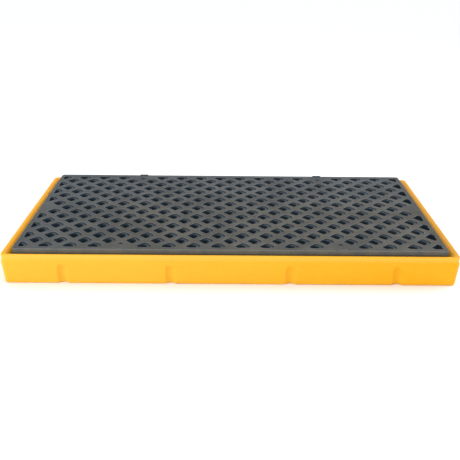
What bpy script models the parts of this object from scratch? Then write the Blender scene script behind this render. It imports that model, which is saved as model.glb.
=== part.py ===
"""Low-profile two-drum spill containment pallet.

A moulded polyethylene sump tray, a drop-in lattice deck and ten loose support
posts that stand on the tray floor and carry the deck.
Metres, +Z up, long side along X, front towards -Y, underside at Z = 0.
"""
import math

import bmesh
import bpy

for _o in list(bpy.data.objects):
    bpy.data.objects.remove(_o, do_unlink=True)

# ---------------------------------------------------------------- sizes (m)
CELL = 0.050                          # square mesh of the 45 degree lattice
PITCH = CELL * math.sqrt(2.0)         # the same mesh measured along X or Y
GAP = 0.0003                          # clearance between touching pieces

RIM_LEN, RIM_WID = 1.3076, 0.6406     # outside of the lip
RIM_Z = 0.092                         # top of the lip
FLOOR_T = 0.0055                      # tray floor thickness
TRAY_CORNER, INNER_CORNER = 0.014, 0.0105   # corner radii outside and inside

DECK_LEN, DECK_WID = 1.243, 0.619
DECK_TOP, DECK_T = 0.106, 0.036
DECK_BASE = DECK_TOP - DECK_T
DECK_CORNER = 0.009
DECK_CHAMFER = 0.0015
HOLE_SIDE = 0.034                     # square opening, corners along X and Y
COLS, ROWS = 18, 9                    # main grid of openings, second grid between
END_CLIP = 0.0095                     # openings beside the short borders stop here
SIDE_CLIP = 0.0110                    # openings beside the long borders stop here

LUG_W, LUG_D, LUG_H = 0.030, 0.009, 0.0035   # stops on the long borders
LUG_X = 4.5 * PITCH
LUG_ROOT = 0.003                      # how deep a lug is rooted in the deck

FLUTE_X = (2.44 * PITCH, 6.80 * PITCH)   # wall flutes, both long walls
FLUTE_R = 0.015
FLUTE_OFF = 0.005                     # flute axis outside the wall face
FLUTE_SEG = 16
LEDGE_R = 0.0225                      # pilaster behind each flute
LEDGE_Z = DECK_BASE - GAP
LEDGE_ANGLES = (-20, -40, -60, -80, -100, -120, -140, -160)   # facets of a pilaster

POST_R, POST_T = 0.035, 0.005
POST_X = (-8, -4, 0, 4, 8)            # in pitches
POST_Y = (-2, 2)
BOSS_H = 0.0015                       # low disc inside each post's foot
BOSS_R = POST_R - POST_T - GAP
SEG = 24                              # facets round a post

# outside of the tray: height, offset outward from the lip plane
OUTER = (
    (0.0000, -0.0047), (0.0025, -0.0032), (0.0600, 0.0008), (0.0645, 0.0017),
    (0.0690, 0.0017), (0.0715, 0.0002), (0.0745, -0.0018), (0.0800, -0.0018),
    (0.0825, -0.0003), (0.0850, 0.0000), (0.0890, -0.0002), (0.0912, -0.0016),
    (0.0920, -0.0040),
)
BELT_Z = OUTER[2][0]                  # the wall is straight up to the belt
# a flute from below the floor to its arched head: height, radius
FLUTE_SHAPE = ((-0.010, FLUTE_R), (0.0475, FLUTE_R), (0.0555, 0.0125), (0.0600, 0.0090), (0.0625, 0.0045))
# inside of the tray: height, inset at the short walls, inset at the long walls
INNER = (
    (0.0920, 0.0058, 0.0052), (0.0912, 0.0086, 0.0072), (0.0890, 0.0104, 0.0080),
    (0.0720, 0.0250, 0.0082), (0.0660, 0.0260, 0.0084), (0.0070, 0.0284, 0.0110),
    (FLOOR_T, 0.0290, 0.0116),
)


# ---------------------------------------------------------------- helpers
def material(name, rgb, rough):
    mat = bpy.data.materials.new(name)
    mat.use_nodes = True
    bsdf = mat.node_tree.nodes["Principled BSDF"]
    bsdf.inputs["Base Color"].default_value = (*rgb, 1.0)
    bsdf.inputs["Roughness"].default_value = rough
    mat.diffuse_color = (*rgb, 1.0)
    return mat


YELLOW = material("yellow_polyethylene", (0.93, 0.53, 0.03), 0.42)
BLACK = material("black_polyethylene", (0.055, 0.055, 0.053), 0.55)
GREY = material("grey_polyethylene_pipe", (0.30, 0.31, 0.31), 0.5)


def rounded_loop(hx, hy, r, seg=4):
    """Counter-clockwise outline of a rounded rectangle."""
    pts = []
    corners = ((hx - r, hy - r, 0), (r - hx, hy - r, 90), (r - hx, r - hy, 180), (hx - r, r - hy, 270))
    for cx, cy, a0 in corners:
        for k in range(seg + 1):
            a = math.radians(a0 + 90.0 * k / seg)
            pts.append((cx + r * math.cos(a), cy + r * math.sin(a)))
    return pts


def finish(bm, name, mat, origin=(0.0, 0.0, 0.0)):
    bmesh.ops.remove_doubles(bm, verts=bm.verts, dist=1e-6)
    bmesh.ops.recalc_face_normals(bm, faces=bm.faces)
    for v in bm.verts:
        v.co.x -= origin[0]
        v.co.y -= origin[1]
        v.co.z -= origin[2]
    mesh = bpy.data.meshes.new(name)
    bm.to_mesh(mesh)
    bm.free()
    obj = bpy.data.objects.new(name, mesh)
    obj.location = origin
    bpy.context.scene.collection.objects.link(obj)
    if mat is not None:
        mesh.materials.append(mat)
    return obj


def loft(bm, loops):
    """Closed body from a stack of equal outlines, each a list of (x, y, z)."""
    rings = [[bm.verts.new(p) for p in loop] for loop in loops]
    n = len(rings[0])
    for a, b in zip(rings, rings[1:]):
        for k in range(n):
            bm.faces.new((a[k], a[(k + 1) % n], b[(k + 1) % n], b[k]))
    bm.faces.new(list(reversed(rings[0])))
    bm.faces.new(rings[-1])


def box(bm, x0, x1, y0, y1, z0, z1):
    loft(bm, [[(x0, y0, z), (x1, y0, z), (x1, y1, z), (x0, y1, z)] for z in (z0, z1)])


def boolean(target, cutter, op):
    cutter.hide_render = True
    cutter.display_type = "WIRE"
    mod = target.modifiers.new(op.lower(), "BOOLEAN")
    mod.operation = op
    mod.solver = "EXACT"
    mod.object = cutter
    bpy.context.view_layer.update()
    deps = bpy.context.evaluated_depsgraph_get()
    mesh = bpy.data.meshes.new_from_object(target.evaluated_get(deps))
    old = target.data
    target.modifiers.clear()
    target.data = mesh
    mesh.name = target.name
    bpy.data.meshes.remove(old)
    bpy.data.objects.remove(cutter, do_unlink=True)


def wall_y(z):
    """Outside face of a long wall at a height below the belt."""
    (z0, o0), (z1, o1) = OUTER[1], OUTER[2]
    return RIM_WID / 2 + o0 + (o1 - o0) * (z - z0) / (z1 - z0)


# ---------------------------------------------------------------- sump tray
def build_tray():
    bm = bmesh.new()
    loops = []
    for z, off in OUTER:
        pts = rounded_loop(RIM_LEN / 2 + off, RIM_WID / 2 + off, TRAY_CORNER + off)
        loops.append([(x, y, z) for x, y in pts])
    for z, ix, iy in INNER:
        pts = rounded_loop(RIM_LEN / 2 - ix, RIM_WID / 2 - iy, INNER_CORNER)
        loops.append([(x, y, z) for x, y in pts])
    loft(bm, loops)
    tray = finish(bm, "sump_tray", YELLOW)

    # pilasters inside the long walls: their flat tops are the deck's side ledges
    bm = bmesh.new()
    for side in (-1, 1):
        for fx in (-FLUTE_X[1], -FLUTE_X[0], FLUTE_X[0], FLUTE_X[1]):
            rings = []
            for z in (FLOOR_T * 0.5, LEDGE_Z):
                cy = wall_y(min(z, BELT_Z)) + FLUTE_OFF
                ring = []
                for a in LEDGE_ANGLES:
                    ca, sa = math.cos(math.radians(a)), math.sin(math.radians(a))
                    ring.append((fx + LEDGE_R * ca, side * (cy + LEDGE_R * sa), z))
                rings.append(ring)
            loft(bm, rings)
    # low bosses that locate the foot of each post
    for px in POST_X:
        for py in POST_Y:
            rings = []
            for z, r in ((FLOOR_T * 0.5, BOSS_R), (FLOOR_T + BOSS_H, BOSS_R)):
                ring = []
                for k in range(SEG):
                    a = 2 * math.pi * k / SEG
                    ring.append((px * PITCH + r * math.cos(a), py * PITCH + r * math.sin(a), z))
                rings.append(ring)
            loft(bm, rings)
    boolean(tray, finish(bm, "tray_adds", None), "UNION")

    # flutes pressed into the long walls from outside, arched at the top
    bm = bmesh.new()
    for side in (-1, 1):
        for fx in (-FLUTE_X[1], -FLUTE_X[0], FLUTE_X[0], FLUTE_X[1]):
            rings = []
            for z, r in FLUTE_SHAPE:
                cy = wall_y(z) + FLUTE_OFF
                ring = []
                for k in range(FLUTE_SEG):
                    a = 2 * math.pi * (k + 0.5) / FLUTE_SEG
                    ring.append((fx + r * math.cos(a), side * (cy + r * math.sin(a)), z))
                rings.append(ring)
            loft(bm, rings)
    boolean(tray, finish(bm, "tray_cuts", None), "DIFFERENCE")
    return tray


# ---------------------------------------------------------------- deck grate
def clip(poly, keep):
    """Cut a convex outline by the line where keep(x, y) changes sign."""
    out = []
    for (x0, y0), (x1, y1) in zip(poly, poly[1:] + poly[:1]):
        a, b = keep(x0, y0), keep(x1, y1)
        if a >= 0:
            out.append((x0, y0))
        if (a > 0 > b) or (a < 0 < b):
            t = a / (a - b)
            out.append((x0 + (x1 - x0) * t, y0 + (y1 - y0) * t))
    return out


def openings():
    """Outlines of every through opening; six main-grid places stay solid pads."""
    h = HOLE_SIDE / math.sqrt(2.0)
    cx, cy = (COLS - 1) / 2, (ROWS - 1) / 2
    pads = {(-4.5, -4.0), (4.5, -4.0), (-4.5, 4.0), (4.5, 4.0), (-8.5, 0.0), (8.5, 0.0)}
    grid = [(i - cx, j - cy) for i in range(COLS) for j in range(ROWS)]
    grid = [g for g in grid if g not in pads]
    grid += [(i - cx + 0.5, j - cy + 0.5) for i in range(COLS - 1) for j in range(ROWS - 1)]
    shapes = []
    for gx, gy in grid:
        x, y = gx * PITCH, gy * PITCH
        poly = [(x + h, y), (x, y + h), (x - h, y), (x, y - h)]
        if gx == cx:
            poly = clip(poly, lambda u, v: x + END_CLIP - u)
        if gx == -cx:
            poly = clip(poly, lambda u, v: u - x + END_CLIP)
        if gy == cy:
            poly = clip(poly, lambda u, v: y + SIDE_CLIP - v)
        if gy == -cy:
            poly = clip(poly, lambda u, v: v - y + SIDE_CLIP)
        shapes.append(poly)
    return shapes


def fill(bm, outline, holes, z):
    """Flat face with holes; gives back the vertex rings."""
    rings, edges = [], []
    for loop in [outline] + holes:
        ring = [bm.verts.new((x, y, z)) for x, y in loop]
        rings.append(ring)
        for a, b in zip(ring, ring[1:] + ring[:1]):
            edges.append(bm.edges.new((a, b)))
    bmesh.ops.triangle_fill(bm, use_beauty=True, use_dissolve=False, edges=edges, normal=(0, 0, 1))
    return rings


def build_deck():
    bm = bmesh.new()
    holes = openings()
    hx, hy, c = DECK_LEN / 2, DECK_WID / 2, DECK_CHAMFER
    top = fill(bm, rounded_loop(hx - c, hy - c, DECK_CORNER - c), holes, DECK_TOP)
    low = fill(bm, rounded_loop(hx, hy, DECK_CORNER), holes, DECK_BASE)
    mid = [bm.verts.new((x, y, DECK_TOP - c)) for x, y in rounded_loop(hx, hy, DECK_CORNER)]
    pairs = [(top[0], mid), (mid, low[0])] + list(zip(top[1:], low[1:]))
    for a, b in pairs:
        n = len(a)
        for k in range(n):
            bm.faces.new((a[k], a[(k + 1) % n], b[(k + 1) % n], b[k]))
    deck = finish(bm, "deck_grate", BLACK)

    # four low stop lugs, flush with the long edges
    bm = bmesh.new()
    for x in (-LUG_X, LUG_X):
        for y0, y1 in ((-hy + c, -hy + LUG_D), (hy - LUG_D, hy - c)):
            box(bm, x - LUG_W / 2, x + LUG_W / 2, y0, y1, DECK_TOP - LUG_ROOT, DECK_TOP + LUG_H)
    boolean(deck, finish(bm, "deck_lugs", None), "UNION")

    origin = (0.0, 0.0, DECK_BASE)
    for v in deck.data.vertices:
        v.co.z -= DECK_BASE
    deck.location = origin
    return deck


# ---------------------------------------------------------------- support posts
def build_post(name, x, y):
    bm = bmesh.new()
    z0, z1 = FLOOR_T + GAP, DECK_BASE - GAP
    rings = []
    for r, z in ((POST_R, z0), (POST_R, z1), (POST_R - POST_T, z1), (POST_R - POST_T, z0)):
        ring = []
        for k in range(SEG):
            a = 2 * math.pi * k / SEG
            ring.append(bm.verts.new((x + r * math.cos(a), y + r * math.sin(a), z)))
        rings.append(ring)
    for a, b in zip(rings, rings[1:] + rings[:1]):
        for k in range(SEG):
            bm.faces.new((a[k], a[(k + 1) % SEG], b[(k + 1) % SEG], b[k]))
    return finish(bm, name, GREY, (x, y, z0))


build_tray()
build_deck()
for row, py in (("front", POST_Y[0]), ("rear", POST_Y[1])):
    for k, px in enumerate(POST_X):
        build_post("support_post_%s_%d" % (row, k + 1), px * PITCH, py * PITCH)
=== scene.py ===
"""Looks of the low-profile two-drum spill containment pallet.

A yellow moulded sump tray, a black lattice deck dropped into it and ten grey
pipe posts that carry the deck. Metres, +Z up, long side along X, front at -Y.
"""
import math

import bmesh
import bpy
from mathutils import Euler, Matrix, Vector


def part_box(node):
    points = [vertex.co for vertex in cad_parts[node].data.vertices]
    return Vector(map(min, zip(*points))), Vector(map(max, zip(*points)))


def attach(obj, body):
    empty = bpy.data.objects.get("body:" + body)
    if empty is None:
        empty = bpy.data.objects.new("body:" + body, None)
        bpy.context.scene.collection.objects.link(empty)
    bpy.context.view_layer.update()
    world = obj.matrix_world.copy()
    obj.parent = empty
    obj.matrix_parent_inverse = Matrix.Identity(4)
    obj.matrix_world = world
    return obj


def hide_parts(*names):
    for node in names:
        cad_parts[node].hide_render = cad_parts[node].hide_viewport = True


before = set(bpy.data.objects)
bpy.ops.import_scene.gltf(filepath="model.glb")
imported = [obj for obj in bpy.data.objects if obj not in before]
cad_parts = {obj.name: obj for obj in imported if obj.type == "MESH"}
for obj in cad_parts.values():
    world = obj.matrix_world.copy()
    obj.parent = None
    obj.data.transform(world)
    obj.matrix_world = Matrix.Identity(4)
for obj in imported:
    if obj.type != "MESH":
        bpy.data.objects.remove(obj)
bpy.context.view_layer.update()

# ---------------------------------------------------------------- sizes (m)
TRAY_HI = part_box("sump_tray")[1]
DECK_LO, DECK_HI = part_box("deck_grate")
POSTS = sorted(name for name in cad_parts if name.startswith("support_post_"))
POST_LO, POST_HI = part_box(POSTS[0])

PITCH = 0.050 * math.sqrt(2.0)        # lattice of openings, measured along X or Y
COLS, ROWS = 18, 9
GAP = 0.0003                          # clearance between touching pieces

# --- tray
BELT = 0.0017                         # how far the swollen belt stands out of the lip
LIP_X, LIP_Y = TRAY_HI.x - BELT, TRAY_HI.y - BELT
TRAY_CORNER, INNER_CORNER = 0.014, 0.0105
CORNER_SEG = 12
FLOOR_T = POST_LO.z - GAP
LEDGE_Z = POST_HI.z                   # top of the pilasters that carry the deck's edge
FLUTE_X = (2.44 * PITCH, 6.80 * PITCH)
FLUTE_R, FLUTE_OFF = 0.015, 0.0075    # flute radius, and its axis outside the wall
FLUTE_DOME = 0.0475                   # the flute ends in a dome above this height
FLUTE_EASE = 0.0070                   # soft shoulder of a flute
PILASTER_R, PILASTER_OFF = 0.0225, 0.005
PILASTER_EASE = 0.002
WALL_FOOT, WALL_BELT = (0.0025, -0.0032), (0.0600, 0.0008)   # height and offset of the straight wall
# outside profile: height, offset outward from the lip
OUTSIDE = (
    (0.0000, -0.0064), (0.0003, -0.0052), (0.0011, -0.0041), (0.0025, -0.0033), (0.0120, -0.0026),
    (0.0240, -0.0018), (0.0360, -0.0009), (0.0460, -0.0002), (0.0520, 0.0003), (0.0560, 0.0006),
    (0.0590, 0.0009), (0.0620, 0.0012), (0.0645, 0.0014), (0.0665, 0.0014), (0.0688, 0.0012),
    (0.0705, 0.0008), (0.0722, 0.0001), (0.0740, -0.0006), (0.0758, -0.0010), (0.0775, -0.0012),
    (0.0792, -0.0011), (0.0810, -0.0007), (0.0828, -0.0003), (0.0848, 0.0000), (0.0870, 0.0000),
    (0.0890, -0.0003), (0.0904, -0.0010), (0.0914, -0.0021), (0.0919, -0.0035), (0.0920, -0.0048),
)
# inside profile: height, inset at the short walls, inset at the long walls
INSIDE = (
    (0.0919, 0.0066, 0.0058), (0.0916, 0.0090, 0.0068), (0.0910, 0.0120, 0.0075),
    (0.0898, 0.0150, 0.0079), (0.0876, 0.0182, 0.0080), (0.0836, 0.0216, 0.0081),
    (0.0775, 0.0243, 0.0082), (0.0712, 0.0254, 0.0083),
)
BELOW_LEDGE = (
    (0.0660, 0.0261, 0.0084), (0.0500, 0.0265, 0.0089), (0.0320, 0.0271, 0.0097),
    (0.0150, 0.0278, 0.0104), (0.0105, 0.0282, 0.0107), (0.0082, 0.0289, 0.0113),
    (0.0064, 0.0304, 0.0128), (FLOOR_T, 0.0324, 0.0146),
)
# flat pilaster tops: depth below the ledge, share of the pilaster that stands
# out, and how far the plain wall between the pilasters sinks below them
LEDGE_ROWS = ((0.0, 0.0, 0.0), (0.0002, 0.93, 0.0008), (0.0009, 1.0, 0.0012))
# points along the tray's outline: close together near a flute, far apart between
LONG_RUN = 0.600                      # half the straight stretch of a long wall
SHORT_RUN, SHORT_STEPS = 0.28, 8      # half the straight stretch of a short wall
FINE_STEP, COARSE_STEP = 0.0022, 0.060
FLUTE_ZONE, FLUTE_LEAD = 0.030, 0.028
NEAR_LONG_WALL = 0.04
BOSS_R, BOSS_H = 0.0297, 0.0015       # disc that locates a post's foot
BOSS_EASE, BOSS_SEG = 0.0004, 32

# --- deck
LUG_H, LUG_W, LUG_D = 0.0035, 0.030, 0.009
LUG_X = 4.5 * PITCH
LUG_INSET = 0.0016                    # from the deck's long side
LUG_CORNER, LUG_CORNER_SEG = 0.0022, 4
# side of a lug: height above the deck, inset
LUG_WALL = ((-0.0015, 0.0), (LUG_H - 0.0012, 0.0002), (LUG_H - 0.0004, 0.0006), (LUG_H, 0.0016))
DECK_TOP = DECK_HI.z - LUG_H
DECK_CORNER, DECK_CORNER_SEG = 0.009, 8
DECK_EDGE_R, DECK_EDGE_SEG = 0.0022, 4
DECK_FOOT_EASE = 0.0006
END_CLIP, SIDE_CLIP = 0.0095, 0.0110  # openings beside the borders stop here
HALF_OPEN = 0.0190                    # half side of a square opening at the top
PADS = ((-4.5, -4.0), (4.5, -4.0), (-4.5, 4.0), (4.5, 4.0), (-8.5, 0.0), (8.5, 0.0))
# walls of an opening, from the top down: depth and inset at a plain side,
# then depth and inset at a side that has the shallow shelf with its raised rim
WALL = (
    (0.0000, 0.0000, 0.0000, 0.0000), (0.0002, 0.0007, 0.0002, 0.0007), (0.0007, 0.0013, 0.0007, 0.0013),
    (0.0018, 0.0017, 0.0018, 0.0017), (0.0040, 0.0018, 0.0040, 0.0022), (0.0041, 0.0018, 0.0042, 0.0060),
    (0.0042, 0.0018, 0.0037, 0.0070), (0.0043, 0.0018, 0.0026, 0.0076), (0.0044, 0.0018, 0.0023, 0.0085),
    (0.0045, 0.0018, 0.0025, 0.0094), (0.0046, 0.0018, 0.0034, 0.0102), (0.0060, 0.0018, 0.0050, 0.0105),
    (0.0200, 0.0019, 0.0200, 0.0104), (0.0352, 0.0020, 0.0352, 0.0103), (0.0360, 0.0014, 0.0360, 0.0098),
)
OPEN_SIDES = (45, 135, 225, 315)      # outward angles of an opening's sides, in degrees
SHELF_SIDES = (45, 315)
CORNER_SIDES = {(True, True): 45, (False, True): 135, (False, False): 225, (True, False): 315}
OPEN_CORNER = 0.0045                  # corner radius of an opening
SHELF_CORNER, SHELF_END = 0.0120, 0.0080   # radii between two shelf sides, and where a shelf starts
WIDE_TURN, WIDE_SEG, NARROW_SEG = 1.0, 5, 2   # a corner that turns more than this gets more points
# blind half recess beside a long-side pad: depth, growth of its half width
RECESS_WALL = ((0.0, 0.0), (0.0004, -0.0004), (0.0035, -0.0008))
RECESS_HALF, RECESS_Y = 0.0115, 0.0085

# --- posts
POST_T, POST_SEG = 0.005, 48
POST_EDGE = 0.0008                    # eased outer edges
BORE_TOP_IN, BORE_TOP_DOWN = 0.0010, 0.0012
BORE_FOOT = 0.0006

# ---------------------------------------------------------------- colours (linear)
# pale and deep yellow: painted light, paler towards the lit left end
PALE_YELLOW = ((0.890, 0.446, 0.034), (0.910, 0.470, 0.040))
DEEP_YELLOW = ((0.860, 0.392, 0.007), (0.880, 0.414, 0.010))
# painted sheen on the lip of the long walls
LIP_SHEEN_YELLOW = (0.93, 0.53, 0.085)
# short-lip colours: painted shade, deeper orange that darkens towards the right
LIP_YELLOW, SHADED_LIP_YELLOW = (0.90, 0.385, 0.006), (0.70, 0.315, 0.022)
MOTTLE_YELLOW = (0.92, 0.50, 0.030)
SCUFF_YELLOW = (0.92, 0.62, 0.16)
GRIME_BROWN = (0.42, 0.24, 0.05)
BARE_BLACK = ((0.018, 0.031, 0.044), (0.032, 0.051, 0.068))
WARM_DUST = ((0.066, 0.058, 0.043), (0.110, 0.097, 0.074))
# dust with a painted bluish sky reflection, used towards the back
DUST_WITH_SKY_REFLECTION = ((0.060, 0.062, 0.063), (0.096, 0.099, 0.101))
# painted edge highlight together with scraping wear on the rounded bar edges
SCRAPE_AND_HIGHLIGHT_GREY = (0.170, 0.165, 0.155)
SPECK_GREY = (0.30, 0.28, 0.25)
# outer-side splash colours: painted shade low down, plain splash above, painted highlight at the brow
DRIED_LOW_SHADE, DRIED_HIGH, BROW_HIGHLIGHT = (0.088, 0.074, 0.047), (0.112, 0.098, 0.068), (0.135, 0.128, 0.115)
PIPE_GREY = ((0.25, 0.26, 0.27), (0.36, 0.37, 0.37))
FLOOR_WHITE = (0.97, 0.97, 0.97, 1.0)
SKY_WHITE, SKY_STRENGTH = (0.95, 0.97, 1.0, 1.0), 1.07


# ---------------------------------------------------------------- mesh helpers
def new_object(name, mesh):
    obj = bpy.data.objects.new(name, mesh)
    bpy.context.scene.collection.objects.link(obj)
    return obj


def mesh_object(name, bm, materials, sharp=math.radians(40)):
    """Object from a bmesh: closed, outward faces, smooth shading with sharp creases kept."""
    bmesh.ops.recalc_face_normals(bm, faces=bm.faces)
    mesh = bpy.data.meshes.new(name)
    bm.to_mesh(mesh)
    bm.free()
    for mat in materials:
        mesh.materials.append(mat)
    mesh.shade_smooth()
    mesh.set_sharp_from_angle(angle=sharp)
    return new_object(name, mesh)


def bridge(bm, a, b):
    """Quads between two closed vertex rings of equal length."""
    n = len(a)
    for k in range(n):
        bm.faces.new((a[k], a[(k + 1) % n], b[(k + 1) % n], b[k]))


def bridge_all(bm, rings):
    for a, b in zip(rings, rings[1:]):
        bridge(bm, a, b)


def ring(bm, points, z):
    return [bm.verts.new((x, y, z)) for x, y in points]


def fill(bm, rings):
    """Flat triangulated face between an outline and the holes in it."""
    edges = []
    for loop in rings:
        for a, b in zip(loop, loop[1:] + loop[:1]):
            edges.append(bm.edges.get((a, b)) or bm.edges.new((a, b)))
    bmesh.ops.triangle_fill(bm, use_beauty=True, use_dissolve=False, edges=edges, normal=(0, 0, 1))


def arc(cx, cy, r, start, end, seg):
    """Points on an arc from one angle to another, in radians."""
    step = (end - start) / seg
    angles = [start + step * k for k in range(seg + 1)]
    return [(cx + r * math.cos(a), cy + r * math.sin(a)) for a in angles]


def rounded_rectangle(hx, hy, r, seg):
    pts = []
    for k, (sx, sy) in enumerate(((1, 1), (-1, 1), (-1, -1), (1, -1))):
        start = math.radians(90 * k)
        pts += arc(sx * (hx - r), sy * (hy - r), r, start, start + math.pi / 2, seg)
    return pts


def circle(cx, cy, r, seg):
    return arc(cx, cy, r, 0.0, 2 * math.pi, seg)[:-1]


# ---------------------------------------------------------------- shader helpers
def add(tree, kind, inputs=(), **settings):
    """New shader node; inputs maps a socket name or index to a value or to another node's output."""
    made = tree.nodes.new("ShaderNode" + kind)
    for key, value in settings.items():
        setattr(made, key, value)
    for key, value in dict(inputs).items():
        if isinstance(value, bpy.types.NodeSocket):
            tree.links.new(value, made.inputs[key])
        else:
            made.inputs[key].default_value = value
    return made


def place(tree, scale=(1.0, 1.0, 1.0)):
    """Object coordinates, stretched along chosen axes."""
    coord = add(tree, "TexCoord").outputs["Object"]
    return add(tree, "Mapping", {"Vector": coord, "Scale": scale}).outputs["Vector"]


def axes(tree, vector):
    return add(tree, "SeparateXYZ", {"Vector": vector}).outputs


def grain(tree, vector, scale, detail=3.0, rough=0.55):
    inputs = {"Vector": vector, "Scale": scale, "Detail": detail, "Roughness": rough}
    return add(tree, "TexNoise", inputs).outputs["Fac"]


def span(tree, value, low, high, to_low=0.0, to_high=1.0):
    """Value carried from one range to another, eased and clamped."""
    inputs = {"Value": value, "From Min": low, "From Max": high, "To Min": to_low, "To Max": to_high}
    return add(tree, "MapRange", inputs, interpolation_type="SMOOTHSTEP").outputs["Result"]


def calc(tree, operation, a, b=0.0):
    clamped = operation == "MULTIPLY"
    return add(tree, "Math", {0: a, 1: b}, operation=operation, use_clamp=clamped).outputs[0]


def times(tree, first, *others):
    """Product of masks, kept between 0 and 1."""
    for other in others:
        first = calc(tree, "MULTIPLY", first, other)
    return first


def size_of(tree, value):
    return calc(tree, "ABSOLUTE", value)


def tint(tree, fac, a, b):
    """Mix of two colours, each a tuple or another node's output."""
    a = (*a, 1.0) if isinstance(a, tuple) else a
    b = (*b, 1.0) if isinstance(b, tuple) else b
    made = add(tree, "Mix", {"Factor": fac, 6: a, 7: b}, data_type="RGBA")
    return made.outputs[2]


def bump(tree, height, distance, strength=1.0, normal=None):
    inputs = {"Height": height, "Distance": distance, "Strength": strength}
    if normal is not None:
        inputs["Normal"] = normal
    return add(tree, "Bump", inputs).outputs["Normal"]


def face_normal(tree):
    return axes(tree, add(tree, "NewGeometry").outputs["Normal"])


def material(name, **constants):
    """Principled material; constants are set on the shader's own sockets."""
    mat = bpy.data.materials.new(name)
    mat.use_nodes = True
    shader = mat.node_tree.nodes["Principled BSDF"]
    for key, value in constants.items():
        shader.inputs[key.replace("_", " ")].default_value = value
    return mat, mat.node_tree, shader


def wire(tree, shader, color, rough, normal):
    for socket, source in (("Base Color", color), ("Roughness", rough), ("Normal", normal)):
        tree.links.new(source, shader.inputs[socket])


# ---------------------------------------------------------------- materials
def yellow_polyethylene():
    mat, tree, shader = material(
        "yellow_polyethylene", Subsurface_Weight=0.12, Subsurface_Scale=0.004,
        Subsurface_Radius=(1.0, 0.45, 0.12), Specular_IOR_Level=0.12)
    at = place(tree)
    here = axes(tree, at)
    # painted light: the walls are coloured paler towards the left end and deeper towards the right,
    # standing in for the light that falls from the left
    painted_left_light = span(tree, here["X"], 0.62, -0.50)
    tone = span(tree, grain(tree, at, scale=2.2, detail=2.0), 0.35, 0.65)
    color = tint(tree, painted_left_light, tint(tree, tone, *DEEP_YELLOW), tint(tree, tone, *PALE_YELLOW))
    # painted sheen: the lip of the long walls is coloured paler where it catches the light
    outward = span(tree, size_of(tree, face_normal(tree)["Y"]), 0.35, 0.80)
    lip_sheen = times(tree, outward, span(tree, here["Z"], 0.070, 0.084, 0.0, 0.55))
    color = tint(tree, lip_sheen, color, LIP_SHEEN_YELLOW)
    # painted shade: the short lips take a deeper orange, darker towards the right end
    beyond_deck = span(tree, size_of(tree, here["X"]), 0.622, 0.632)
    short_lip = times(tree, beyond_deck, span(tree, outward, 1.0, 0.0))
    lip = tint(tree, span(tree, here["X"], 0.0, 0.5), LIP_YELLOW, SHADED_LIP_YELLOW)
    color = tint(tree, short_lip, color, lip)
    mottle = span(tree, grain(tree, at, scale=38.0, detail=4.0), 0.42, 0.70)
    color = tint(tree, times(tree, mottle, 0.18), color, MOTTLE_YELLOW)
    # pale scuffs, long and thin along the walls
    along = place(tree, (9.0, 9.0, 150.0))
    scuff = span(tree, grain(tree, along, scale=1.4, detail=5.0, rough=0.7), 0.66, 0.74)
    color = tint(tree, times(tree, scuff, 0.16), color, SCUFF_YELLOW)
    # grime low down and on the inside floor
    blotch = span(tree, grain(tree, at, scale=24.0, detail=5.0), 0.45, 0.75)
    grime = times(tree, span(tree, here["Z"], 0.014, 0.001), blotch, 0.30)
    color = tint(tree, grime, color, GRIME_BROWN)
    rough = span(tree, grain(tree, at, scale=60.0, detail=4.0), 0.3, 0.7, 0.36, 0.50)
    peel = bump(tree, grain(tree, at, scale=420.0), distance=0.0004, strength=0.35)
    wave = bump(tree, grain(tree, at, scale=14.0, detail=2.0), distance=0.004, strength=0.18, normal=peel)
    wire(tree, shader, color, rough, wave)
    return mat


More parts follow.
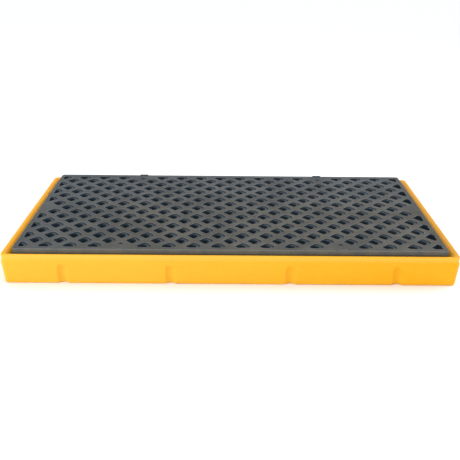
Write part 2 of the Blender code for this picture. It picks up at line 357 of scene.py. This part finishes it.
def black_polyethylene(name, dust_amount):
    """Black deck plastic; trodden dust settles on what faces up and dries on the outer sides, with painted
    highlights on the rounded edges, a painted sky reflection towards the back and painted shade low on the
    outer sides.
    """
    mat, tree, shader = material(name, Specular_IOR_Level=0.30)
    at = place(tree)
    here = axes(tree, at)
    up = face_normal(tree)["Z"]
    clean = tint(tree, grain(tree, at, scale=30.0), *BARE_BLACK)
    # trodden dust, warm in front; towards the back it turns cooler, a painted reflection of the bluish sky
    cloud = span(tree, grain(tree, at, scale=9.0, detail=4.0), 0.35, 0.65)
    sky_reflection_towards_back = span(tree, here["Y"], -0.12, 0.30)
    dust_and_reflection = tint(tree, sky_reflection_towards_back, tint(tree, cloud, *WARM_DUST), tint(tree, cloud, *DUST_WITH_SKY_REFLECTION))
    patch = span(tree, grain(tree, at, scale=110.0, detail=6.0, rough=0.70), 0.34, 0.60, 0.36, 1.0)
    # thinner in the shallow shelves and near the left end
    near_top = span(tree, here["Z"], DECK_TOP - 0.0036, DECK_TOP - 0.0008, 0.36, 1.0)
    flat = times(tree, span(tree, up, 0.55, 0.97), near_top)
    off_left = span(tree, here["X"], -0.60, -0.24, 0.58, 1.0)
    settled = times(tree, flat, patch, dust_amount, off_left)
    color = tint(tree, settled, clean, dust_and_reflection)
    # rounded edges of the bars are coloured lighter: a painted edge highlight together with scraping wear
    brow = times(tree, span(tree, up, 0.30, 0.55), span(tree, up, 0.995, 0.93))
    edge = span(tree, here["Z"], DECK_TOP - 0.0020, DECK_TOP - 0.0012)
    rub_and_sheen = span(tree, grain(tree, at, scale=60.0), 0.30, 0.60, 0.25, 0.75)
    color = tint(tree, times(tree, brow, edge, rub_and_sheen, dust_amount), color, SCRAPE_AND_HIGHLIGHT_GREY)
    speck = span(tree, grain(tree, at, scale=520.0, detail=1.0), 0.74, 0.80)
    color = tint(tree, times(tree, speck, flat, 0.4), color, SPECK_GREY)
    # dried splashes on the outer sides of the deck, painted darker low down as shade in the gap above the
    # tray's lip, with a painted highlight along the top edge
    outer_side = calc(tree, "GREATER_THAN", size_of(tree, here["Y"]), DECK_HI.y - 0.0030)
    runs = place(tree, (30.0, 30.0, 8.0))
    streak = span(tree, grain(tree, runs, scale=1.0, detail=4.0), 0.30, 0.66, 0.55, 1.0)
    splash_shade_highlight = tint(tree, span(tree, here["Z"], DECK_TOP - 0.0150, DECK_TOP - 0.0040), DRIED_LOW_SHADE, DRIED_HIGH)
    splash_shade_highlight = tint(tree, span(tree, here["Z"], DECK_TOP - 0.0036, DECK_TOP - 0.0010), splash_shade_highlight, BROW_HIGHLIGHT)
    color = tint(tree, times(tree, outer_side, streak, 0.9 * dust_amount), color, splash_shade_highlight)
    rough = span(tree, settled, 0.0, 1.0, 0.42, 0.80)
    pitted = bump(tree, grain(tree, at, scale=600.0), distance=0.0003, strength=0.4)
    wire(tree, shader, color, rough, pitted)
    return mat


def grey_pipe():
    mat, tree, shader = material("grey_polyethylene_pipe", Specular_IOR_Level=0.45)
    at = place(tree)
    color = tint(tree, grain(tree, at, scale=18.0, detail=4.0), *PIPE_GREY)
    rings = grain(tree, place(tree, (2.0, 2.0, 320.0)), scale=1.0, detail=2.0)
    rough = span(tree, grain(tree, at, scale=70.0), 0.3, 0.7, 0.42, 0.62)
    wire(tree, shader, color, rough, bump(tree, rings, distance=0.0003, strength=0.4))
    return mat


YELLOW = yellow_polyethylene()
BLACK = black_polyethylene("black_polyethylene", 1.0)
BLACK_CLEAN = black_polyethylene("black_polyethylene_clean", 0.75)
GREY = grey_pipe()


# ---------------------------------------------------------------- sump tray
def wall_y(z):
    """Outside face of a long wall: straight from its foot up to the belt."""
    (z0, y0), (z1, y1) = WALL_FOOT, WALL_BELT
    return LIP_Y + y0 + (y1 - y0) * (min(z, z1) - z0) / (z1 - z0)


def soft_positive(v, ease):
    """max(v, 0) with a rounded corner."""
    if v <= -ease:
        return 0.0
    if v >= ease:
        return v
    return (v + ease) ** 2 / (4 * ease)


def from_flute(x):
    """Distance along X to the nearest flute's axis."""
    return min(abs(abs(x) - fx) for fx in FLUTE_X)


def signed_root(v):
    return math.copysign(math.sqrt(abs(v)), v)


def flute_depth(x, z):
    """How far a flute presses a long wall inward."""
    rise = max(0.0, z - FLUTE_DOME)
    bulge = signed_root(FLUTE_R ** 2 - from_flute(x) ** 2 - rise ** 2)
    return soft_positive(bulge - FLUTE_OFF, FLUTE_EASE)


def pilaster_depth(x, z, inset):
    """How far the pilaster behind a flute stands in from the inner face of a long wall."""
    bulge = signed_root(PILASTER_R ** 2 - from_flute(x) ** 2)
    wall = LIP_Y - inset - wall_y(z)
    return soft_positive(bulge - PILASTER_OFF + wall, PILASTER_EASE)


def long_wall_steps():
    """Places along X of a long wall's points."""
    xs = []
    x = -LONG_RUN
    while x < LONG_RUN + 1e-9:
        xs.append(x)
        near = from_flute(x)
        x += FINE_STEP if near < FLUTE_ZONE else min(COARSE_STEP, max(FINE_STEP, near - FLUTE_LEAD))
    return xs


def tray_outline(hx, hy, r, push):
    """Outline of the tray; push(x) moves the points of the long walls towards the middle."""
    xs = long_wall_steps()
    ys = [SHORT_RUN * (2 * k / SHORT_STEPS - 1) for k in range(SHORT_STEPS + 1)]
    pts = arc(hx - r, hy - r, r, 0.0, math.pi / 2, CORNER_SEG)
    pts += [(-x, hy - push(-x)) for x in xs]
    pts += arc(r - hx, hy - r, r, math.pi / 2, math.pi, CORNER_SEG)
    pts += [(-hx, -y) for y in ys]
    pts += arc(r - hx, r - hy, r, math.pi, 1.5 * math.pi, CORNER_SEG)
    pts += [(x, push(x) - hy) for x in xs]
    pts += arc(hx - r, r - hy, r, 1.5 * math.pi, 2 * math.pi, CORNER_SEG)
    pts += [(hx, y) for y in ys]
    return pts


def ledge_ring(bm, drop, share, sink):
    """One ring of the flat pilaster tops; the wall drops on between them."""
    _, ix, iy = INSIDE[-1]
    z = LEDGE_Z - drop
    outline = tray_outline(LIP_X - ix, LIP_Y - iy, INNER_CORNER, lambda x: share * pilaster_depth(x, z, iy))
    verts = ring(bm, outline, z)
    for v in verts:
        on_long_wall = abs(v.co.y) > LIP_Y - NEAR_LONG_WALL
        stands = min(1.0, pilaster_depth(v.co.x, z, iy) / PILASTER_EASE) if on_long_wall else 0.0
        v.co.z -= (1.0 - stands) * sink
    return verts


def add_boss(bm, post_name):
    """Low disc under a post; gives back the ring where it meets the floor."""
    lo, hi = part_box(post_name)
    cx, cy = (lo.x + hi.x) / 2, (lo.y + hi.y) / 2
    foot = ring(bm, circle(cx, cy, BOSS_R, BOSS_SEG), FLOOR_T)
    brow = ring(bm, circle(cx, cy, BOSS_R, BOSS_SEG), FLOOR_T + BOSS_H - BOSS_EASE)
    top = ring(bm, circle(cx, cy, BOSS_R - BOSS_EASE, BOSS_SEG), FLOOR_T + BOSS_H)
    bridge_all(bm, [foot, brow, top])
    bm.faces.new(top)
    return foot


def build_tray():
    bm = bmesh.new()
    rings = []
    for z, off in OUTSIDE:
        pts = tray_outline(LIP_X + off, LIP_Y + off, TRAY_CORNER + off, lambda x: flute_depth(x, z))
        rings.append(ring(bm, pts, z))
    for z, ix, iy in INSIDE:
        rings.append(ring(bm, tray_outline(LIP_X - ix, LIP_Y - iy, INNER_CORNER, lambda x: 0.0), z))
    for row in LEDGE_ROWS:
        rings.append(ledge_ring(bm, *row))
    for z, ix, iy in BELOW_LEDGE:
        pts = tray_outline(LIP_X - ix, LIP_Y - iy, INNER_CORNER, lambda x: pilaster_depth(x, z, iy))
        rings.append(ring(bm, pts, z))
    bridge_all(bm, rings)
    fill(bm, [rings[0]])
    bosses = [add_boss(bm, name) for name in POSTS]
    fill(bm, [rings[-1]] + bosses)
    return mesh_object("sump_tray_shell", bm, [YELLOW])


# ---------------------------------------------------------------- lattice deck
def opening_sides(gx, gy):
    """Sides of one opening as (outward angle in degrees, distance from its centre, has a shelf)."""
    last_x, last_y = (COLS - 1) / 2, (ROWS - 1) / 2
    sides = [(angle, HALF_OPEN, gx < last_x and angle in SHELF_SIDES) for angle in OPEN_SIDES]
    borders = []
    if abs(gx) == last_x:
        borders.append((0 if gx > 0 else 180, END_CLIP, False))
    if abs(gy) == last_y:
        borders.append((90 if gy > 0 else 270, SIDE_CLIP, False))
    if len(borders) == 2:
        sides = [side for side in sides if side[0] != CORNER_SIDES[(gx > 0, gy > 0)]]
    return sorted(sides + borders)


def opening_ring(sides, level):
    """Points of one opening at one level of its wall, as (x, y, depth)."""
    depth, inset, shelf_depth, shelf_inset = level
    pts = []
    for (angle0, d0, shelf0), (angle1, d1, shelf1) in zip(sides[-1:] + sides[:-1], sides):
        a0, a1 = math.radians(angle0), math.radians(angle1)
        if a1 < a0:
            a1 += 2 * math.pi
        d0 -= shelf_inset if shelf0 else inset
        d1 -= shelf_inset if shelf1 else inset
        turn = math.sin(a1 - a0)
        x = (d0 * math.sin(a1) - d1 * math.sin(a0)) / turn
        y = (d1 * math.cos(a0) - d0 * math.cos(a1)) / turn
        r = SHELF_CORNER if shelf0 and shelf1 else SHELF_END if shelf0 or shelf1 else OPEN_CORNER
        back = r / (1 + math.cos(a1 - a0))
        x -= back * (math.cos(a0) + math.cos(a1))
        y -= back * (math.sin(a0) + math.sin(a1))
        seg = WIDE_SEG if a1 - a0 > WIDE_TURN else NARROW_SEG
        z0 = shelf_depth if shelf0 else depth
        z1 = shelf_depth if shelf1 else depth
        for k, (px, py) in enumerate(arc(x, y, r, a0, a1, seg)):
            pts.append((px, py, z0 + (z1 - z0) * k / seg))
    return pts


def deck_places():
    """Grid places of the openings: the main grid without its pads, and the grid between."""
    cx, cy = (COLS - 1) / 2, (ROWS - 1) / 2
    main = [(i - cx, j - cy) for i in range(COLS) for j in range(ROWS)]
    between = [(i - cx + 0.5, j - cy + 0.5) for i in range(COLS - 1) for j in range(ROWS - 1)]
    return [g for g in main if g not in PADS] + between


def deck_skin(bm):
    """Outer skin of the deck: rounded top edge, plain sides, small lower edge."""
    levels = []
    for k in range(DECK_EDGE_SEG + 1):
        a = math.pi / 2 * k / DECK_EDGE_SEG
        levels.append((DECK_EDGE_R * (1 - math.sin(a)), DECK_TOP - DECK_EDGE_R * (1 - math.cos(a))))
    levels += [(0.0, DECK_LO.z + DECK_FOOT_EASE), (DECK_FOOT_EASE, DECK_LO.z)]
    skin = []
    for inset, z in levels:
        hx, hy, r = DECK_HI.x - inset, DECK_HI.y - inset, DECK_CORNER - inset
        skin.append(ring(bm, rounded_rectangle(hx, hy, r, DECK_CORNER_SEG), z))
    bridge_all(bm, skin)
    return skin


def add_recess(bm, gx, gy):
    """Blind half recess beside a long-side pad; gives back its ring in the deck's top."""
    out = 1 if gy > 0 else -1
    rings = []
    for depth, grow in RECESS_WALL:
        half = RECESS_HALF + grow
        corners = [(-half, RECESS_Y), (half, RECESS_Y), (0.0, RECESS_Y + half)]
        pts = [(x + gx * PITCH, -out * y + gy * PITCH) for x, y in corners]
        if out > 0:
            pts.reverse()
        rings.append(ring(bm, pts, DECK_TOP - depth))
    bridge_all(bm, rings)
    bm.faces.new(rings[-1])
    return rings[0]


def build_deck():
    bm = bmesh.new()
    skin = deck_skin(bm)
    top, low = [skin[0]], [skin[-1]]
    for gx, gy in deck_places():
        sides = opening_sides(gx, gy)
        rings = []
        for level in WALL:
            pts = opening_ring(sides, level)
            rings.append([bm.verts.new((x + gx * PITCH, y + gy * PITCH, DECK_TOP - d)) for x, y, d in pts])
        bridge_all(bm, rings)
        top.append(rings[0])
        low.append(rings[-1])
    top += [add_recess(bm, gx, gy) for gx, gy in PADS if gy != 0]
    fill(bm, top)
    fill(bm, low)
    return mesh_object("deck_lattice", bm, [BLACK])


def build_lug(name, x, side):
    """Low stop moulded on a long edge, with rounded top corners."""
    bm = bmesh.new()
    y0, y1 = DECK_HI.y - LUG_D, DECK_HI.y - LUG_INSET
    cy, half = (y0 + y1) / 2, (y1 - y0) / 2
    loops = []
    for z, inset in LUG_WALL:
        outline = rounded_rectangle(LUG_W / 2 - inset, half - inset, LUG_CORNER, LUG_CORNER_SEG)
        loops.append(ring(bm, [(x + px, side * (cy + py)) for px, py in outline], DECK_TOP + z))
    bridge_all(bm, loops)
    bm.faces.new(loops[0])
    bm.faces.new(loops[-1])
    return mesh_object(name, bm, [BLACK_CLEAN])


# ---------------------------------------------------------------- support posts
def build_post(name):
    lo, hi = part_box(name)
    cx, cy = (lo.x + hi.x) / 2, (lo.y + hi.y) / 2
    r_out = (hi.x - lo.x) / 2
    r_in = r_out - POST_T
    profile = (
        (r_out, lo.z + POST_EDGE), (r_out, hi.z - POST_EDGE), (r_out - POST_EDGE, hi.z),
        (r_in + BORE_TOP_IN, hi.z), (r_in, hi.z - BORE_TOP_DOWN),
        (r_in, lo.z + BORE_FOOT), (r_in + BORE_FOOT, lo.z), (r_out - POST_EDGE, lo.z),
    )
    bm = bmesh.new()
    rings = [ring(bm, circle(cx, cy, r, POST_SEG), z) for r, z in profile]
    bridge_all(bm, rings + rings[:1])
    return mesh_object(name.replace("support_post", "pipe_post"), bm, [GREY])


# ---------------------------------------------------------------- pieces
tray = build_tray()
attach(tray, "tray")
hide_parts("sump_tray")

deck = build_deck()
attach(deck, "deck")
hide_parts("deck_grate")
for row_name, lug_side in (("front", -1), ("rear", 1)):
    for end_name, lug_x in (("left", -LUG_X), ("right", LUG_X)):
        lug = build_lug("deck_lug_%s_%s" % (row_name, end_name), lug_x, lug_side)
        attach(lug, "deck")

for post_name in POSTS:
    post = build_post(post_name)
    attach(post, "tray")
    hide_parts(post_name)


# ---------------------------------------------------------------- stage, light, camera
FLOOR_HALF, FLOOR_DROP = 30.0, 0.0005
# name, place, aim, size, power in watts, colour
LAMPS = (
    ("key_left", (-2.3, -1.7, 0.9), (-0.3, -0.3, 0.05), (1.4, 1.2), 26.0, (1.0, 0.97, 0.92)),
    ("fill_right", (2.4, 0.6, 1.9), (-0.2, 0.0, 0.05), (2.0, 1.6), 34.0, (1.0, 0.99, 0.97)),
)
CAMERA_AT = Vector((-0.0122, -1.9221, 0.9102))
CAMERA_YAW, CAMERA_PITCH, CAMERA_ROLL = math.radians(0.33), math.radians(24.69), math.radians(0.567)
CAMERA_LENS, CAMERA_SENSOR = 49.815, 36.0   # mm


def area_light(name, place_at, aim, size, power, color):
    data = bpy.data.lights.new(name, "AREA")
    data.shape = "RECTANGLE"
    data.size, data.size_y = size
    data.energy = power
    data.color = color
    lamp = new_object(name, data)
    lamp.location = place_at
    lamp.rotation_euler = (Vector(aim) - Vector(place_at)).to_track_quat("-Z", "Y").to_euler()


def build_stage():
    bm = bmesh.new()
    bmesh.ops.create_grid(bm, x_segments=1, y_segments=1, size=FLOOR_HALF)
    mesh = bpy.data.meshes.new("studio_floor")
    bm.to_mesh(mesh)
    bm.free()
    mat, _, shader = material("studio_floor_white", Specular_IOR_Level=0.1, Roughness=0.9)
    shader.inputs["Base Color"].default_value = FLOOR_WHITE
    mesh.materials.append(mat)
    floor = new_object("studio_floor", mesh)
    floor.location.z = -FLOOR_DROP


def build_world():
    world = bpy.data.worlds.new("studio")
    world.use_nodes = True
    sky = world.node_tree.nodes["Background"]
    sky.inputs["Color"].default_value = SKY_WHITE
    sky.inputs["Strength"].default_value = SKY_STRENGTH
    bpy.context.scene.world = world


def build_camera():
    data = bpy.data.cameras.new("camera")
    data.sensor_width = CAMERA_SENSOR
    data.lens = CAMERA_LENS
    cam = new_object("camera", data)
    look = Euler((math.pi / 2 - CAMERA_PITCH, 0.0, -CAMERA_YAW)).to_matrix().to_4x4()
    cam.matrix_world = Matrix.Translation(CAMERA_AT) @ look @ Matrix.Rotation(CAMERA_ROLL, 4, "Z")
    bpy.context.scene.camera = cam


build_stage()
build_world()
for lamp_row in LAMPS:
    area_light(*lamp_row)
build_camera()
bpy.context.scene.view_settings.view_transform = "Standard"
